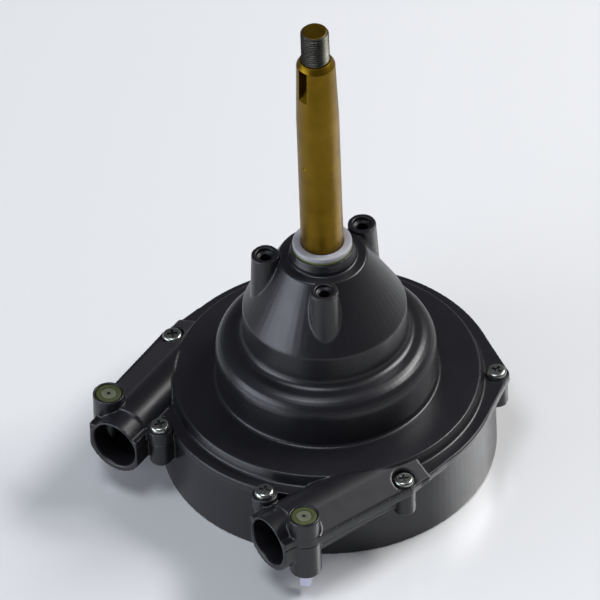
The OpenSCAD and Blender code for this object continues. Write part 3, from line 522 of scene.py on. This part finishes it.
# The walls and floor of the cross recess take the dark finish: painted shade in the recess
for polygon in screws.data.polygons:
    middle = polygon.center / MM
    if 1.2 < middle.z < HEAD_H - 0.1 and math.hypot(middle.x, middle.y) < 2.6:
        polygon.material_index = 1
screws.data = copies(screws.data, screw_places, "cover_screw_set")
screws.data.materials.append(ZINC)
screws.data.materials.append(DARK_STEEL_AND_SHADE)
smooth_faces(screws.data)


# Lock bolts with a round head, and the barrel nuts under the bosses
LOCK_ALONG = 67.2
LOCK_OUT = 71.9
LOCK_TURN = 0.4
HEAD_TOP = 45.2
BOSS_FOOT = 13.5
BOLT_END = BOSS_FOOT + 1.5
BOLT_R = 3.0
LOCK_HEAD_R = 5.75
# The light centre of the head's face, and the small pit in its middle, which is painted dark as shade
FACE_R = 3.4
PIT_R = 0.86
lock_centres = [port_place(LOCK_ALONG, LOCK_OUT, 0.0, side) for side in SIDES]
lock_places = [(centre, LOCK_TURN * side) for centre, side in zip(lock_centres, SIDES)]

bolt_mesh = as_mesh(turned([
    (0.0, BOLT_END), (BOLT_R - 0.4, BOLT_END), (BOLT_R, BOLT_END + 0.4), (BOLT_R, HEAD_TOP - 2.2),
    (LOCK_HEAD_R - 0.15, HEAD_TOP - 2.2), (LOCK_HEAD_R, HEAD_TOP - 2.0),
    (LOCK_HEAD_R, HEAD_TOP - 0.35), (LOCK_HEAD_R - 0.15, HEAD_TOP - 0.1), (LOCK_HEAD_R - 0.4, HEAD_TOP),
    (3.75, HEAD_TOP), (3.6, HEAD_TOP - 0.35), (3.45, HEAD_TOP - 0.4),
    (3.3, HEAD_TOP - 0.15), (3.1, HEAD_TOP - 0.08), (1.1, HEAD_TOP - 0.02), (0.85, HEAD_TOP - 0.1),
    (0.7, HEAD_TOP - 0.9), (0.0, HEAD_TOP - 1.0),
], steps=72), "lock_bolt")
bolt_set = copies(bolt_mesh, lock_places, "lock_bolt_set")
bolts = add_piece("lock_bolt_set", bolt_set, "lock_bolts", OLIVE, OLIVE_LIGHT, DARK_STEEL_AND_SHADE)
smooth_faces(bolts.data)
for polygon in bolts.data.polygons:
    middle = polygon.center / MM
    far = min(math.hypot(middle.x - centre[0], middle.y - centre[1]) for centre in lock_centres)
    on_face = middle.z > HEAD_TOP - 1.5
    if on_face and PIT_R < far <= FACE_R:
        polygon.material_index = 1
    # The centre pit takes the dark finish as painted shade; the shank under the head is real dark steel
    elif (on_face and far <= PIT_R) or middle.z < HEAD_TOP - 2.3:
        polygon.material_index = 2

BARREL_BORE_R = 3.02
BARREL_FLOOR = 1.5
BARREL_R = 4.5
BARREL_L = 4.5
SQUARE_W = 4.8
SQUARE_L = 9.0
SQUARE_EDGE = 0.35
SQUARE_TURN = math.radians(43.0)
nut_shape = turned([
    (BARREL_BORE_R, BARREL_FLOOR), (BARREL_BORE_R, BARREL_L), (BARREL_R - 0.4, BARREL_L),
    (BARREL_R, BARREL_L - 0.4), (BARREL_R, 0.3), (BARREL_R - 0.3, 0.0), (0.0, 0.0),
    (0.0, BARREL_FLOOR), (BARREL_BORE_R, BARREL_FLOOR),
], steps=48)
nut_mesh = as_mesh(nut_shape, "lock_nut", 30.0)
square_shape = box_shape((SQUARE_W, SQUARE_W, SQUARE_L), (0.0, 0.0, -SQUARE_L / 2.0))
bmesh.ops.bevel(
    square_shape, geom=square_shape.edges[:], offset=SQUARE_EDGE * MM,
    segments=3, profile=0.5, affect="EDGES",
)
square_mesh = as_mesh(square_shape, "lock_square", 40.0)
nut_places = []
for centre, side in zip(lock_centres, SIDES):
    nut_places.append(((centre[0], centre[1], BOSS_FOOT), side * (PORT_TURN + SQUARE_TURN)))
nut_set = copies(nut_mesh, nut_places, "lock_nut_set")
both = bmesh.new()
both.from_mesh(nut_set)
both.from_mesh(copies(square_mesh, nut_places, "lock_squares"))
both.to_mesh(nut_set)
both.free()
nuts = add_piece("lock_nut_set", nut_set, "lock_nuts", PALE_ZINC)
smooth_faces(nuts.data, 30.0)


# Camera, light and floor
TARGET = Vector((0.0, 0.0, 60.0)) * MM
ELEVATION = math.radians(42.52)
AZIMUTH = math.radians(44.933)
ROLL = math.radians(2.163)
AIM = (-11.523 * MM, 18.176 * MM)
DISTANCE = 8.9123
right = Vector((math.cos(AZIMUTH), math.sin(AZIMUTH), 0.0))
ahead = Vector((-math.sin(AZIMUTH), math.cos(AZIMUTH), 0.0))
up = ahead * math.sin(ELEVATION) + Vector((0.0, 0.0, math.cos(ELEVATION)))
towards = -ahead * math.cos(ELEVATION) + Vector((0.0, 0.0, math.sin(ELEVATION)))
image_x = right * math.cos(ROLL) - up * math.sin(ROLL)
image_y = right * math.sin(ROLL) + up * math.cos(ROLL)
camera = bpy.data.objects.new("camera", bpy.data.cameras.new("camera"))
bpy.context.scene.collection.objects.link(camera)
camera.data.lens = 1200.0
camera.data.sensor_width = 36.0
camera.data.clip_end = 60.0
camera_turn = Matrix((image_x, image_y, towards)).transposed().to_4x4()
camera.matrix_world = Matrix.Translation(
    TARGET + image_x * AIM[0] + image_y * AIM[1] + towards * DISTANCE
) @ camera_turn
bpy.context.scene.camera = camera


def area_light(name, place, size, height, power, colour=(1.0, 1.0, 1.0)):
    """A panel of light that faces the helm's middle."""
    data = bpy.data.lights.new(name, "AREA")
    data.shape = "RECTANGLE"
    data.size = size
    data.size_y = height
    data.energy = power
    data.color = colour
    lamp = bpy.data.objects.new(name, data)
    bpy.context.scene.collection.objects.link(lamp)
    lamp.location = place
    lamp.rotation_mode = "QUATERNION"
    lamp.rotation_quaternion = (LIT_CENTRE - place).to_track_quat("-Z", "Y")


def from_camera(across, height, forward):
    """A place by how far right of, over and in front of the helm it lies, as the camera sees it."""
    return right * across + Vector((0.0, 0.0, height)) - ahead * forward


LIT_CENTRE = Vector((0.0, 0.0, 0.07))
area_light("right_panel", from_camera(1.27, 1.39, -0.51), 1.25, 0.4, 33.0)
area_light("left_panel", from_camera(-1.74, 0.55, 0.70), 1.6, 0.7, 21.0, (0.84, 0.90, 1.0))
area_light("top_panel", from_camera(-0.40, 1.88, 0.35), 0.7, 0.7, 12.0, (0.86, 0.92, 1.0))

# The sky of the studio: pale at the horizon, dim over the helm
world = bpy.data.worlds.new("studio")
bpy.context.scene.world = world
world.use_nodes = True
tree = world.node_tree
place = tree.nodes.new("ShaderNodeTexCoord")
split = tree.nodes.new("ShaderNodeSeparateXYZ")
ramp = tree.nodes.new("ShaderNodeValToRGB")
ramp.color_ramp.elements[0].position = 0.06
ramp.color_ramp.elements[0].color = (0.35, 0.35, 0.36, 1.0)
ramp.color_ramp.elements[1].position = 0.2
ramp.color_ramp.elements[1].color = (0.09, 0.09, 0.10, 1.0)
tree.links.new(place.outputs["Generated"], split.inputs["Vector"])
tree.links.new(split.outputs["Z"], ramp.inputs["Fac"])
tree.links.new(ramp.outputs["Color"], tree.nodes["Background"].inputs["Color"])

# A pale, glossy floor, whose reflection lights the can's wall. It lies just under the helm
FLOOR_R = 12.0
FLOOR_Z = -0.0002
floor_mesh = bpy.data.meshes.new("floor")
floor_shape = bmesh.new()
bmesh.ops.create_circle(floor_shape, cap_ends=True, segments=96, radius=FLOOR_R)
floor_shape.to_mesh(floor_mesh)
floor_shape.free()
floor = bpy.data.objects.new("floor", floor_mesh)
bpy.context.scene.collection.objects.link(floor)
acrylic = bpy.data.materials.new("floor_acrylic")
acrylic.use_nodes = True
shader = acrylic.node_tree.nodes["Principled BSDF"]
shader.inputs["Base Color"].default_value = (0.90, 0.90, 0.90, 1.0)
shader.inputs["Roughness"].default_value = 0.22
shader.inputs["Specular IOR Level"].default_value = 1.0
shader.inputs["Coat Weight"].default_value = 0.6
shader.inputs["Coat Roughness"].default_value = 0.22
shader.inputs["Coat IOR"].default_value = 2.0
floor_mesh.materials.append(acrylic)
floor.location = (0.0, 0.0, FLOOR_Z)

bpy.context.scene.view_settings.view_transform = "Standard"
